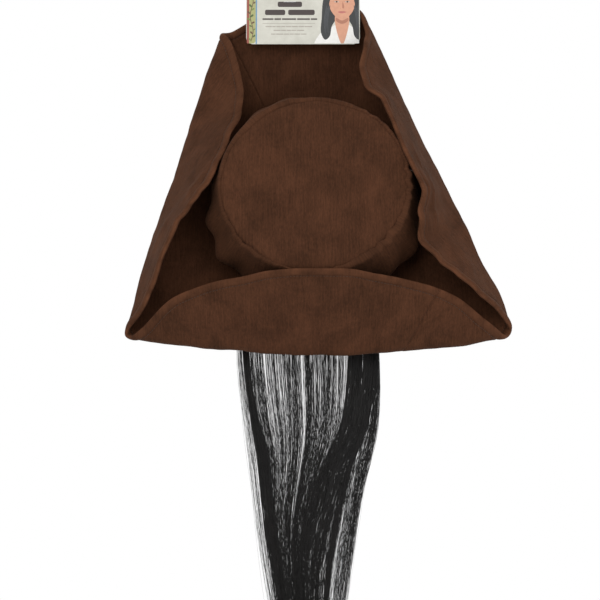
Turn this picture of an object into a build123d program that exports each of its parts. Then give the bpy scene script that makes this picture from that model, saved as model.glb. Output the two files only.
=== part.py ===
"""Tricorn pirate hat with a fall of black hair, hanging by a blank header card.

Millimetres.  The origin is the centre of the head opening, in the plane of the
brim.  +Z points to the front of the hat, which is up while the hat hangs by its
card, +Y points out of the head opening, and the crown stands towards -Y.
Heights above the brim are measured towards -Y.  Angles run round the crown from
+X towards +Z, so the front of the hat is at 90 degrees and the back at -90.
"""
from build123d import *
import math
import os

# ------------------------------------------------------------ driving dimensions

# Head opening and sweatband
OPENING_RADIUS = 94.0
BAND_THICKNESS = 1.2
BAND_HEIGHT = 28.0

# Cloth plies, and the slack between two plies that are sewn together
SUEDE = 0.9
INTERFACING = 0.8
LINING = 0.5
STIFFENER = 1.2
PLY_GAP = 0.2

# Crown: a straight collar over the sweatband, then a taper to an oval top
CROWN_HEIGHT = 86.0
COLLAR_HEIGHT = 31.0
TOP_TAPER_SIDE = 8.0
TOP_TAPER_FRONT = 15.0
TOP_SHIFT_X = -2.0
TOP_SHIFT_Z = 3.5
CROWN_SEAM_GAP = 0.9

# Brim cut flat: a disc set back from the crown, drawn out a little at the front
BRIM_WIDTH = 119.0
BRIM_SHIFT_X = -1.0
BRIM_SHIFT_Z = -33.0
FRONT_PEAK = 20.0
FRONT_PEAK_HALF_ANGLE = 30.0
# how far the cut edge stands out of the disc: directions in degrees, and distances
EDGE_EXTRA = [(-168, 0), (-146, -5), (-136, -8), (-122, 0), (-108, 0), (-94, 6), (-86, 6),
              (-72, 0), (-60, 0), (-48, -4), (-30, -3), (-16, 5), (4, 6), (14, 1), (34, 2),
              (46, 8), (58, 10), (68, 1), (74, 0), (116, 0), (126, 10), (156, 11), (166, 8), (178, 2)]
EDGE_ALLOWANCE = 3.0
SEAM_ANGLE = -62.0
SEAM_GAP = 0.3

# Brim floor: rises away from the crown like a shallow dish
FLOOR_RISE = 40.0
FLOOR_RUN = 60.0
FLOOR_CURVE = 1.25
FLOOR_EASE = 10.0

# Turned-up flaps.  out: direction the flap lies in, degrees.  gap: crown to fold.
# bow: how far the fold curves in, BOW_SPAN from its middle.  slack: places along
# the fold, and how many degrees the flap stands short of resting on the crown.
FLAP_CLEARANCE = 3.0
BOW_SPAN = 160.0
FLAPS = {
    "left": {
        "out": 162.5, "gap": 41.6, "bend": 9.0, "bow": 4.0,
        "slack": [(-130, -34), (-84, -36), (-55, -24), (-23, -6), (8, -1), (24, 0),
                  (38, 4), (52, 8), (72, 14), (100, 17), (140, 6), (160, 1)],
    },
    "right": {
        "out": 24.8, "gap": 22.5, "bend": 9.0, "bow": 3.0,
        "slack": [(-172, -2), (-150, -8), (-126, -12), (-109, -19), (-87, -25), (-64, -12),
                  (-42, -1), (16, -1), (52, -2), (76, -15), (92, -18), (112, -4)],
    },
    "back": {
        "out": -90.0, "gap": 54.0, "bend": 10.0, "bow": 12.0,
        "slack": [(-150, -2), (-90, -4), (0, 1), (90, -4), (150, -2)],
    },
}

# Thread tacks that hold the flaps to the crown
TACK_RADIUS = 0.6
TACK_ANGLES = [160.0, 18.0, -90.0]
TACK_SHARE = 0.965
TACK_END_GAP = 0.6

# Hair: a weft sewn round the back of the opening, a fixed root, hanging locks
WEFT_GAP = 1.2
WEFT_HALF_ANGLE = 43.0
WEFT_WIDTH = 4.0
WEFT_THICKNESS = 2.0
ROOT_THICKNESS = 3.0
ROOT_DROP = 16.0
HINGE_GAP = 2.4
HAIR_STAND_OFF = 7.0
HAIR_TOP_SPAN = (-80.0, 67.0)
HAIR_TIP_SPAN = (-44.0, 18.0)
LOCK_GAP = 0.8
LOCK_LENGTHS = [352.0, 372.0, 388.0, 384.0, 396.0, 390.0, 400.0, 392.0, 398.0, 404.0, 390.0, 376.0]
LOCK_GROUPS = {"left": 3, "centre": 5, "right": 4}
# share of the length, share of the full width, thickness
LOCK_PROFILE = [(0.0, 0.96, 3.0), (0.12, 1.0, 6.0), (0.5, 1.0, 7.0), (0.85, 0.8, 5.0), (1.0, 0.4, 2.0)]

# Header card, its hang hole, and the two staples through the front of the brim
CARD_WIDTH = 112.0
CARD_HEIGHT = 150.0
CARD_THICKNESS = 0.6
CARD_CORNER = 7.0
CARD_CENTRE_X = -13.0
CARD_BOTTOM_Z = 152.0
CARD_CLEARANCE = 1.0
HANG_HOLE_RADIUS = 4.0
HANG_HOLE_INSET = 14.0
STAPLE_WIRE = 0.6
STAPLE_CROWN = 12.0
STAPLE_SPACING = 26.0
STAPLE_INSET = 5.0
STAPLE_CLINCH = 3.5

# Blank care label, caught in the sweatband seam at the left of the head opening
LABEL_WIDTH = 22.0
LABEL_LENGTH = 28.0
LABEL_THICKNESS = 0.3
LABEL_ANGLE = 180.0
LABEL_GAP = 0.06

# Sampling of the brim sheets: steps round a half brim, and steps across it
STEPS_ROUND = 36
STEPS_ACROSS = 18

# ---------------------------------------------------------------- derived sizes

CROWN_WALL = LINING + INTERFACING + SUEDE + 2 * PLY_GAP
CROWN_RADIUS = OPENING_RADIUS + BAND_THICKNESS + PLY_GAP + CROWN_WALL
BRIM_INNER = CROWN_RADIUS + CROWN_SEAM_GAP
TOP_HALF_X = CROWN_RADIUS - TOP_TAPER_SIDE
TOP_HALF_Z = CROWN_RADIUS - TOP_TAPER_FRONT
RIM_HEIGHT = CROWN_HEIGHT + PLY_GAP + SUEDE
DISC_RADIUS = CROWN_RADIUS + BRIM_WIDTH
SKIN_OFFSET = STIFFENER / 2 + PLY_GAP + SUEDE / 2
BRIM_HALF = STIFFENER / 2 + PLY_GAP + SUEDE
HINGE_Z = -(BRIM_INNER + ROOT_DROP)


# ------------------------------------------------------------------ brim formula

def ease(share):
    """Smooth step from 0 to 1."""
    return share * share * (3 - 2 * share)


def read_off(place, pairs):
    """Value at a place, eased between the neighbouring (place, value) pairs."""
    if place <= pairs[0][0]:
        return pairs[0][1]
    for (low, before), (high, after) in zip(pairs, pairs[1:]):
        if place <= high:
            return before + (after - before) * ease((place - low) / (high - low))
    return pairs[-1][1]


def floor_height(x, z):
    """Height of the brim floor over a point of the flat brim."""
    out = max(0.0, math.hypot(x, z) - CROWN_RADIUS)
    return FLOOR_RISE * (1 - math.exp(-((out / FLOOR_RUN) ** FLOOR_CURVE)))


def resting_turn(flap):
    """Degrees that a flap turns through to lie on the rim of the crown."""
    angle = math.radians(flap["out"])
    nx, nz = math.cos(angle), math.sin(angle)
    rim = math.hypot(TOP_HALF_X * nx, TOP_HALF_Z * nz) + TOP_SHIFT_X * nx + TOP_SHIFT_Z * nz
    fold = CROWN_RADIUS + flap["gap"]
    run = fold - flap["bend"] - rim
    rise = RIM_HEIGHT - floor_height(fold * nx, fold * nz) - flap["bend"]
    reach = math.hypot(run, rise)
    lean = math.asin((flap["bend"] - FLAP_CLEARANCE) / reach)
    return math.degrees(math.atan2(rise, -run) + lean)


for flap in FLAPS.values():
    flap["rest"] = resting_turn(flap)


def fold_up(x, z):
    """Where a point of the flat brim lies once the three flaps are turned up."""
    folded_x, folded_z, height = x, z, 0.0
    floor_x, floor_z = x, z
    for flap in FLAPS.values():
        angle = math.radians(flap["out"])
        nx, nz = math.cos(angle), math.sin(angle)
        along = z * nx - x * nz
        bend = flap["bend"]
        start = CROWN_RADIUS + flap["gap"] - bend - flap["bow"] * (along / BOW_SPAN) ** 2
        past = x * nx + z * nz - start
        if past <= 0:
            continue
        turn = math.radians(flap["rest"] - read_off(along, flap["slack"]))
        arc = min(past / bend, turn)
        straight = max(0.0, past - bend * turn)
        out = bend * math.sin(arc) + straight * math.cos(turn)
        height += bend * (1 - math.cos(arc)) + straight * math.sin(turn)
        folded_x += (out - past) * nx
        folded_z += (out - past) * nz
        spent = past - FLOOR_EASE * (1 - math.exp(-past / FLOOR_EASE))
        floor_x -= spent * nx
        floor_z -= spent * nz
    height += floor_height(floor_x, floor_z)
    return Vector(folded_x, -height, folded_z)


def outline_radius(angle):
    """Radius of the flat brim's edge, in a direction given in degrees."""
    turn = math.radians(angle)
    along = BRIM_SHIFT_X * math.cos(turn) + BRIM_SHIFT_Z * math.sin(turn)
    shift = BRIM_SHIFT_X ** 2 + BRIM_SHIFT_Z ** 2
    radius = along + math.sqrt(along ** 2 - shift + DISC_RADIUS ** 2)
    off_front = (angle - 90 + 180) % 360 - 180
    if abs(off_front) < FRONT_PEAK_HALF_ANGLE:
        radius += FRONT_PEAK * math.cos(math.radians(90 * off_front / FRONT_PEAK_HALF_ANGLE)) ** 2
    return radius + read_off((angle + 180) % 360 - 180, EDGE_EXTRA)


def brim_point(angle, share, inset=0.0):
    """A point of the brim's middle surface: share 0 at the crown, 1 at the edge."""
    radius = BRIM_INNER + share * (outline_radius(angle) - inset - BRIM_INNER)
    turn = math.radians(angle)
    return fold_up(radius * math.cos(turn), radius * math.sin(turn))


def brim_normal(angle, share, inset=0.0):
    """Unit normal of the middle surface, on the side of the crown."""
    step_round = 0.2
    step_across = 0.004
    low, high = max(0.0, share - step_across), min(1.0, share + step_across)
    across = brim_point(angle, high, inset) - brim_point(angle, low, inset)
    around = brim_point(angle + step_round, share, inset) - brim_point(angle - step_round, share, inset)
    return across.cross(around).normalized()


# ------------------------------------------------------------------ solid makers

def spread(low, high, steps):
    """Evenly spaced values from low to high."""
    return [low + (high - low) * index / steps for index in range(steps + 1)]


def brim_section(angle, offset, thickness, inset):
    """The four corner-to-corner edges of a ply's section, running out from the crown."""
    upper, lower = [], []
    for share in spread(0.0, 1.0, STEPS_ACROSS):
        middle = brim_point(angle, share, inset)
        normal = brim_normal(angle, share, inset)
        upper.append(middle + normal * (offset + thickness / 2))
        lower.append(middle + normal * (offset - thickness / 2))
    at_crown = Edge.make_line(upper[0], lower[0])
    at_edge = Edge.make_line(upper[-1], lower[-1])
    return Edge.make_spline(upper), Edge.make_spline(lower), at_crown, at_edge


def brim_ply(first, last, offset, thickness, inset):
    """One cut piece of cloth in the brim, from one seam round to the other."""
    sections = [brim_section(angle, offset, thickness, inset) for angle in spread(first, last, STEPS_ROUND)]
    faces = [Face.make_surface_from_curves(end[0], end[1]) for end in (sections[0], sections[-1])]
    for before, after in zip(sections, sections[1:]):
        faces += [Face.make_surface_from_curves(one, other) for one, other in zip(before, after)]
    return Solid(Shell(faces))


def half_brim(side):
    """First and last angle of one half, short of the seams by half the gap."""
    trim = math.degrees(SEAM_GAP / 2 / BRIM_INNER)
    start = SEAM_ANGLE if side == "right" else SEAM_ANGLE + 180
    return start + trim, start + 180 - trim


def level(height):
    """A sketch plane at a height above the brim, its x to +X and its y to +Z."""
    return Plane(origin=(0, -height, 0), x_dir=(1, 0, 0), z_dir=(0, -1, 0))


def crown_form(inward, low, top):
    """The crown as a solid form, set in from its outer surface."""
    radius = CROWN_RADIUS - inward
    collar = extrude(level(low) * Circle(radius), COLLAR_HEIGHT - low)
    taper_start = level(COLLAR_HEIGHT) * Circle(radius)
    oval = Pos(TOP_SHIFT_X, TOP_SHIFT_Z) * Ellipse(TOP_HALF_X - inward, TOP_HALF_Z - inward)
    taper_end = level(top) * oval
    return collar + loft([taper_start, taper_end])


def crown_ply(inward, thickness):
    """A ply of the crown's side, open at both ends."""
    outer = crown_form(inward, -BRIM_HALF, CROWN_HEIGHT)
    inner = crown_form(inward + thickness, -BRIM_HALF, CROWN_HEIGHT)
    return outer - inner


def crown_disc(height, thickness, inward):
    """An oval ply that closes the top of the crown."""
    oval = Pos(TOP_SHIFT_X, TOP_SHIFT_Z) * Ellipse(TOP_HALF_X - inward, TOP_HALF_Z - inward)
    return extrude(level(height) * oval, thickness)


def save(name, shape):
    """Write one node."""
    export_step(shape, f"parts/{name}.step")


# ------------------------------------------------------------------------- crown

def make_crown():
    """Side and top, each with its suede, its interfacing and its lining."""
    side_in = SUEDE + PLY_GAP
    lining_in = side_in + INTERFACING + PLY_GAP
    save("crown_side_panel", crown_ply(0.0, SUEDE))
    save("crown_side_interfacing", crown_ply(side_in, INTERFACING))
    save("crown_side_lining", crown_ply(lining_in, LINING))
    save("crown_top_panel", crown_disc(CROWN_HEIGHT + PLY_GAP, SUEDE, 0.0))
    under = CROWN_HEIGHT - INTERFACING - PLY_GAP
    save("crown_top_interfacing", crown_disc(under, INTERFACING, CROWN_WALL + PLY_GAP))
    under -= PLY_GAP + LINING
    save("crown_top_lining", crown_disc(under, LINING, CROWN_WALL + PLY_GAP))
    outer = extrude(level(-BRIM_HALF) * Circle(OPENING_RADIUS + BAND_THICKNESS), BAND_HEIGHT)
    inner = extrude(level(-BRIM_HALF) * Circle(OPENING_RADIUS), BAND_HEIGHT)
    save("sweatband", outer - inner)


def make_label():
    """A blank tag that lies flat against the inside of the sweatband."""
    reach = OPENING_RADIUS - LABEL_GAP - LABEL_THICKNESS / 2
    half_turn = math.degrees(LABEL_WIDTH / 2 / reach)
    arc = CenterArc((0, 0, 0), reach, LABEL_ANGLE - half_turn, 2 * half_turn)
    top = level(BAND_HEIGHT - BRIM_HALF - LABEL_LENGTH)
    save("care_label", extrude(top * trace(arc, LABEL_THICKNESS), LABEL_LENGTH))


# -------------------------------------------------------------------------- brim

def make_brim():
    """Upper cloth, stiffener and under cloth, each cut in two halves."""
    plies = {
        "brim_upper": (SKIN_OFFSET, SUEDE, 0.0),
        "brim_stiffener": (0.0, STIFFENER, EDGE_ALLOWANCE),
        "brim_under": (-SKIN_OFFSET, SUEDE, 0.0),
    }
    for name, (offset, thickness, inset) in plies.items():
        for side in ("left", "right"):
            first, last = half_brim(side)
            save(f"{name}_{side}", brim_ply(first, last, offset, thickness, inset))


def crown_wall_point(angle, height):
    """The point of the crown's outer surface in a direction, at a height."""
    turn = math.radians(angle)
    share = min(1.0, max(0.0, (height - COLLAR_HEIGHT) / (CROWN_HEIGHT - COLLAR_HEIGHT)))
    half_x = CROWN_RADIUS - TOP_TAPER_SIDE * share
    half_z = CROWN_RADIUS - TOP_TAPER_FRONT * share
    x = TOP_SHIFT_X * share + half_x * math.cos(turn)
    z = TOP_SHIFT_Z * share + half_z * math.sin(turn)
    return Vector(x, -height, z)


def make_tacks():
    """A short bar of thread from each flap's edge to the side of the crown."""
    bars = []
    for angle in TACK_ANGLES:
        share = TACK_SHARE
        flap_side = brim_point(angle, share)
        while -flap_side.Y > CROWN_HEIGHT - 4 * TACK_RADIUS:
            share -= 0.01
            flap_side = brim_point(angle, share)
        flap_side += brim_normal(angle, share) * (BRIM_HALF + TACK_END_GAP)
        bearing = math.degrees(math.atan2(flap_side.Z, flap_side.X))
        wall = crown_wall_point(bearing, min(-flap_side.Y, CROWN_HEIGHT - 4 * TACK_RADIUS))
        reach = wall - flap_side
        length = reach.length - 2 * TACK_END_GAP - TACK_RADIUS / 2
        plane = Plane(origin=flap_side + reach.normalized() * TACK_RADIUS / 2, z_dir=reach)
        bars.append(extrude(plane * Circle(TACK_RADIUS), length))
    save("flap_tacks", Compound(bars))


# -------------------------------------------------------------------------- hair

def make_weft():
    """The sewn heading of the hair, and the short fixed root below it."""
    inner = BRIM_INNER + WEFT_GAP
    outer = inner + WEFT_WIDTH
    heading = CenterArc((0, 0, 0), inner + WEFT_WIDTH / 2, -90 - WEFT_HALF_ANGLE, 2 * WEFT_HALF_ANGLE)
    track = trace(heading, WEFT_WIDTH)
    back = Plane(origin=(0, BRIM_HALF + PLY_GAP, 0), x_dir=(-1, 0, 0), z_dir=(0, 1, 0))
    weft = extrude(back * mirror(track, Plane.YZ), WEFT_THICKNESS)
    save("hair_weft", weft)
    left, right = HAIR_TOP_SPAN
    fall = Pos((left + right) / 2, (HINGE_Z + HINGE_GAP) / 2) * Rectangle(right - left, -HINGE_Z - HINGE_GAP)
    below = fall - Circle(outer + PLY_GAP)
    root_face = Plane(origin=(0, HAIR_STAND_OFF - ROOT_THICKNESS / 2, 0), x_dir=(-1, 0, 0), z_dir=(0, 1, 0))
    sheet = extrude(root_face * mirror(below, Plane.YZ), ROOT_THICKNESS)
    save("hair_root", sheet)


def lock_solid(index):
    """One hanging lock: flat ovals that narrow to a tip, side by side with the next."""
    count = len(LOCK_LENGTHS)
    top_low, top_high = HAIR_TOP_SPAN
    tip_low, tip_high = HAIR_TIP_SPAN
    middle = (index + 0.5) / count
    length = LOCK_LENGTHS[index]
    longest = max(LOCK_LENGTHS)
    sections = []
    for share, width_share, thickness in LOCK_PROFILE:
        fall = share * length / longest
        span_low = top_low + (tip_low - top_low) * fall
        span_high = top_high + (tip_high - top_high) * fall
        pitch = (span_high - span_low) / count
        half_width = (pitch - LOCK_GAP) / 2 * width_share
        x = span_low + (span_high - span_low) * middle
        plane = Plane(origin=(x, HAIR_STAND_OFF, HINGE_Z - share * length), x_dir=(1, 0, 0), z_dir=(0, 0, 1))
        sections.append(plane * Ellipse(half_width, thickness / 2))
    return loft(sections)


def make_locks():
    """The locks, in three groups that each swing at the root."""
    index = 0
    for group, count in LOCK_GROUPS.items():
        for number in range(1, count + 1):
            save(f"hair_{group}_lock_{number}", lock_solid(index))
            index += 1


# ------------------------------------------------------------------- header card

def staple_places():
    """Centres of the staples, in from the front edge of the brim."""
    reach = BRIM_SHIFT_Z + DISC_RADIUS + FRONT_PEAK - STAPLE_INSET
    places = []
    for side in (-1, 1):
        x = CARD_CENTRE_X + side * STAPLE_SPACING / 2
        edge = outline_radius(math.degrees(math.atan2(reach, x)))
        z = math.sqrt((edge - STAPLE_INSET) ** 2 - x ** 2)
        places.append((x, z))
    return places


def card_back_height():
    """Height of the card's back face: clear of all of the brim that it covers."""
    highest = 0.0
    for angle in spread(60, 120, 60):
        for share in spread(0.5, 1.0, 25):
            point = brim_point(angle, share)
            if abs(point.X - CARD_CENTRE_X) < CARD_WIDTH / 2 + CARD_CLEARANCE and point.Z > CARD_BOTTOM_Z:
                highest = max(highest, -point.Y)
    return highest + BRIM_HALF + CARD_CLEARANCE


def make_card():
    """The card stands just clear of the brim's front edge and takes the hang hole."""
    back_height = card_back_height()
    blank = Pos(CARD_CENTRE_X, CARD_BOTTOM_Z + CARD_HEIGHT / 2) * RectangleRounded(
        CARD_WIDTH, CARD_HEIGHT, CARD_CORNER)
    hole = Pos(CARD_CENTRE_X, CARD_BOTTOM_Z + CARD_HEIGHT - HANG_HOLE_INSET) * Circle(HANG_HOLE_RADIUS)
    save("hang_card", extrude(level(back_height) * (blank - hole), CARD_THICKNESS))
    staples = []
    for x, z in staple_places():
        outside = back_height + CARD_THICKNESS + STAPLE_WIRE / 2 + PLY_GAP / 2
        behind = floor_height(x, z) - BRIM_HALF - STAPLE_WIRE / 2 - PLY_GAP
        half = STAPLE_CROWN / 2
        path = FilletPolyline(
            (x - half + STAPLE_CLINCH, -behind, z), (x - half, -behind, z), (x - half, -outside, z),
            (x + half, -outside, z), (x + half, -behind, z), (x + half - STAPLE_CLINCH, -behind, z),
            radius=STAPLE_WIRE)
        wire = Plane(origin=path @ 0, z_dir=path % 0) * Circle(STAPLE_WIRE / 2)
        staples.append(sweep(wire, path))
    save("card_staples", Compound(staples))


os.makedirs("parts", exist_ok=True)
make_crown()
make_label()
make_brim()
make_tacks()
make_weft()
make_locks()
make_card()
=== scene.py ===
"""Looks of the tricorn pirate hat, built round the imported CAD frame.

Metres, in the frame of the CAD: +Z is the front of the hat and up, +Y comes out of
the head opening, and the crown stands towards -Y.  Shapes are worked out in
millimetres, as in the part's design, and are scaled when a mesh is made.
"""

import bpy
import math
import numpy as np
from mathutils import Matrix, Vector


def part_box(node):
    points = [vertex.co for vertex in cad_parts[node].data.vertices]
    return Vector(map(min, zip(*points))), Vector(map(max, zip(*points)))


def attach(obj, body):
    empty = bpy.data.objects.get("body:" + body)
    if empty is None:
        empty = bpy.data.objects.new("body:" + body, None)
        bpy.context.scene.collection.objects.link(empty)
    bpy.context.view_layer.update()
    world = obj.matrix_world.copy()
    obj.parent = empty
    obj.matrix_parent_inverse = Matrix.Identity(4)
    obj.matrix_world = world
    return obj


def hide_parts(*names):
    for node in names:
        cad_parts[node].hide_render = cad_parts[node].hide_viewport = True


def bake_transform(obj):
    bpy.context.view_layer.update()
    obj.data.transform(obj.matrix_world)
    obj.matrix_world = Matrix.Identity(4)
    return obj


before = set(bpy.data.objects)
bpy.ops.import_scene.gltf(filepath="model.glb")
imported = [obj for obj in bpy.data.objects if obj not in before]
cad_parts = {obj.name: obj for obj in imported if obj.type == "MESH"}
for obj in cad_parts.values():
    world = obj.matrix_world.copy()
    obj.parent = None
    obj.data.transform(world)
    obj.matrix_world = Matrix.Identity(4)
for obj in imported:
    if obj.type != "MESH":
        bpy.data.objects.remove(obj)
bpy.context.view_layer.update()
MM = 0.001

# ------------------------------------------------------------ sizes, as designed

OPENING_RADIUS = 94.0
BAND_THICKNESS = 1.2
BAND_HEIGHT = 28.0
SUEDE = 0.9
LINING = 0.5
STIFFENER = 1.2
PLY_GAP = 0.2
BRIM_HALF = STIFFENER / 2 + PLY_GAP + SUEDE
CROWN_RADIUS = 98.0
CROWN_HEIGHT = 86.0
COLLAR_HEIGHT = 31.0
TOP_HALF_X = 90.0
TOP_HALF_Z = 83.0
TOP_SHIFT_X = -2.0
TOP_SHIFT_Z = 3.5
RIM_HEIGHT = 87.1
BRIM_INNER = 98.3
DISC_RADIUS = 217.0
BRIM_SHIFT_X = -1.0
BRIM_SHIFT_Z = -33.0
FRONT_PEAK = 20.0
FRONT_PEAK_HALF_ANGLE = 30.0
EDGE_EXTRA = [(-168, 0), (-146, -5), (-136, -8), (-122, 0), (-108, 0), (-94, 6), (-86, 6),
              (-72, 0), (-60, 0), (-48, -4), (-30, -3), (-16, 5), (4, 6), (14, 1), (34, 2),
              (46, 8), (58, 10), (68, 1), (74, 0), (116, 0), (126, 10), (156, 11), (166, 8), (178, 2)]
SEAM_ANGLE = -62.0
FLOOR_RISE = 40.0
FLOOR_RUN = 60.0
FLOOR_CURVE = 1.25
FLOOR_EASE = 10.0
FLAP_CLEARANCE = 3.0
BOW_SPAN = 160.0
FLAPS = {
    "left": {
        "out": 162.5, "gap": 41.6, "bend": 9.0, "bow": 4.0,
        "slack": [(-130, -34), (-84, -36), (-55, -24), (-23, -6), (8, -1), (24, 0),
                  (38, 4), (52, 8), (72, 14), (100, 17), (140, 6), (160, 1)],
    },
    "right": {
        "out": 24.8, "gap": 22.5, "bend": 9.0, "bow": 3.0,
        "slack": [(-172, -2), (-150, -8), (-126, -12), (-109, -19), (-87, -25), (-64, -12),
                  (-42, -1), (16, -1), (52, -2), (76, -15), (92, -18), (112, -4)],
    },
    "back": {
        "out": -90.0, "gap": 54.0, "bend": 10.0, "bow": 12.0,
        "slack": [(-150, -2), (-90, -4), (0, 1), (90, -4), (150, -2)],
    },
}

HAIR_TOP_SPAN = (-80.0, 67.0)
HAIR_STAND_OFF = 7.0
HINGE_Z = -114.3
WEFT_RADIUS = 101.5
WEFT_WIDTH = 4.0
WEFT_THICKNESS = 2.0
WEFT_HALF_ANGLE = 43.0
LOCK_GROUPS = {"left": 3, "centre": 5, "right": 4}


# --------------------------------------------------------------------- materials

def new_material(name):
    """A node material: itself, its nodes and its Principled shader."""
    material = bpy.data.materials.new(name)
    material.use_nodes = True
    nodes = material.node_tree.nodes
    return material, nodes, nodes["Principled BSDF"]


def feed(node, values):
    """Set inputs of a node, or link them to a socket or to another node's first output."""
    for key, value in values.items():
        if isinstance(value, bpy.types.Node):
            value = value.outputs[0]
        if isinstance(value, bpy.types.NodeSocket):
            node.id_data.links.new(value, node.inputs[key])
        else:
            node.inputs[key].default_value = value


def add(nodes, kind, *values, **named):
    """A node with its inputs fed in order or by name, and its attributes by name."""
    node = nodes.new("ShaderNode" + kind)
    inputs = dict(enumerate(values))
    for key, value in named.items():
        if key in node.inputs.keys():
            inputs[key] = value
        else:
            setattr(node, key, value)
    feed(node, inputs)
    return node


def ramp(nodes, factor, stops):
    """A colour ramp with the given (place, colour) stops."""
    node = add(nodes, "ValToRGB", factor)
    elements = node.color_ramp.elements
    while len(elements) < len(stops):
        elements.new(0.5)
    for element, (place, colour) in zip(elements, stops):
        element.position = place
        element.color = (*colour, 1.0)
    return node


def suede_material(name, dark, light, wale_pitch=0.0011):
    """Brushed suede cloth with a fine rib that follows the cloth's own grain."""
    material, nodes, shader = new_material(name)
    grain = add(nodes, "UVMap", uv_map="cloth")
    across = add(nodes, "SeparateXYZ", grain)
    wander = add(nodes, "TexNoise", Vector=grain, Scale=55.0, Detail=2.0)
    sway = add(nodes, "Math", wander, 0.0006, across, operation="MULTIPLY_ADD")
    phase = add(nodes, "Math", sway, 2 * math.pi / wale_pitch, operation="MULTIPLY")
    rib = add(nodes, "Math", phase, operation="SINE")

    fine = add(nodes, "Mapping", grain, Scale=(800.0, 260.0, 1.0))
    nap = add(nodes, "TexNoise", Vector=fine, Scale=1.0, Detail=4.0, Roughness=0.65)
    long = add(nodes, "Mapping", grain, Scale=(620.0, 45.0, 1.0))
    streak = add(nodes, "TexNoise", Vector=long, Scale=1.0, Detail=3.0, Roughness=0.6)
    cloud = add(nodes, "TexNoise", Vector=grain, Scale=30.0, Detail=6.0, Roughness=0.62, Distortion=0.6)
    tone = add(nodes, "Math", cloud, 0.6, operation="MULTIPLY")
    for part, strength in ((streak, 0.4), (rib, 0.06), (nap, 0.5)):
        tone = add(nodes, "Math", part, strength, tone, operation="MULTIPLY_ADD")
    colour = ramp(nodes, tone, [(0.58, dark), (0.92, light)])
    # lighter colour where the mask is set: partly real wear rubbed onto the edges, partly a painted highlight
    # on the folded edges and the hem's raised ridge
    wear_and_highlight = add(nodes, "Attribute", attribute_name="wear_and_highlight")
    worn_and_lit = add(nodes, "Mix", data_type="RGBA", blend_type="MIX")
    feed(worn_and_lit, {0: wear_and_highlight.outputs["Fac"], 6: colour, 7: (*(1.9 * value for value in light), 1.0)})

    rough = add(nodes, "MapRange", nap, **{"To Min": 0.82, "To Max": 0.98})
    height = add(nodes, "Math", rib, 0.5, nap, operation="MULTIPLY_ADD")
    bump = add(nodes, "Bump", Strength=0.55, Distance=0.00025, Height=height)
    feed(shader, {
        "Base Color": worn_and_lit.outputs[2], "Roughness": rough, "Normal": bump, "Specular IOR Level": 0.09,
        "Sheen Weight": 0.03, "Sheen Roughness": 0.4, "Sheen Tint": (0.8, 0.46, 0.27, 1.0),
    })
    return material


def woven_material(name, dark, light, pitch, rough, sheen):
    """Plain woven cloth: crossing threads, with small changes of colour."""
    material, nodes, shader = new_material(name)
    grain = add(nodes, "UVMap", uv_map="cloth")
    waves = []
    for part in add(nodes, "SeparateXYZ", grain).outputs[:2]:
        phase = add(nodes, "Math", part, 2 * math.pi / pitch, operation="MULTIPLY")
        waves.append(add(nodes, "Math", phase, operation="SINE"))
    weave = add(nodes, "Math", *waves, operation="MULTIPLY")
    cloud = add(nodes, "TexNoise", Vector=grain, Scale=60.0, Detail=5.0, Roughness=0.6)
    tone = add(nodes, "Math", weave, 0.16, cloud, operation="MULTIPLY_ADD")
    feed(shader, {
        "Base Color": ramp(nodes, tone, [(0.3, dark), (0.7, light)]),
        "Normal": add(nodes, "Bump", Strength=0.5, Distance=0.0002, Height=weave),
        "Roughness": rough, "Sheen Weight": sheen, "Specular IOR Level": 0.25,
    })
    return material


def speckled_material(name, dark, light, scale, rough, bump_depth, metallic=0.0):
    """A material whose colour and surface vary with fine noise in the object's space."""
    material, nodes, shader = new_material(name)
    place = add(nodes, "TexCoord").outputs["Object"]
    noise = add(nodes, "TexNoise", Vector=place, Scale=scale, Detail=5.0, Roughness=0.6)
    feed(shader, {
        "Base Color": ramp(nodes, noise, [(0.32, dark), (0.68, light)]),
        "Normal": add(nodes, "Bump", Strength=0.4, Distance=bump_depth, Height=noise),
        "Roughness": rough, "Metallic": metallic,
    })
    return material


def hair_material(name):
    """Black synthetic fibre: glossy, with lengthwise changes from fibre to fibre; the lightest, brownish
    fibres are a painted highlight.
    """
    material, nodes, shader = new_material(name)
    grain = add(nodes, "UVMap", uv_map="cloth")
    noise = add(nodes, "TexNoise", Vector=grain, Scale=9.0, Detail=3.0)
    # fibre-to-fibre tone; the last, brownish stop is a painted highlight on some fibres
    stops = [(0.34, (0.0035, 0.0031, 0.0028)), (0.62, (0.013, 0.0115, 0.0105)), (0.74, (0.042, 0.036, 0.032))]
    feed(shader, {"Base Color": ramp(nodes, noise, stops), "Roughness": 0.42, "Specular IOR Level": 0.4})
    return material


SUEDE_DARK = (0.0315, 0.0124, 0.0056)
SUEDE_LIGHT = (0.074, 0.0288, 0.0138)
suede = suede_material("suede", SUEDE_DARK, SUEDE_LIGHT)
lining_cloth = woven_material("lining", (0.012, 0.009, 0.008), (0.03, 0.022, 0.018), 0.0006, 0.6, 0.1)
band_cloth = woven_material("sweatband", (0.018, 0.011, 0.008), (0.045, 0.03, 0.022), 0.0014, 0.8, 0.2)
stiffener_cloth = speckled_material("stiffener", (0.02, 0.018, 0.016), (0.05, 0.045, 0.04), 900, 0.9, 0.0002)
thread_cloth = speckled_material("thread", (0.022, 0.011, 0.007), (0.06, 0.032, 0.02), 2500, 0.7, 0.0001)
label_tape = woven_material("label_tape", (0.62, 0.6, 0.56), (0.8, 0.78, 0.74), 0.0005, 0.5, 0.1)
hair_fibre = hair_material("hair")
weft_cloth = speckled_material("weft_tape", (0.006, 0.005, 0.005), (0.02, 0.018, 0.017), 1800, 0.75, 0.0002)
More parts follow.
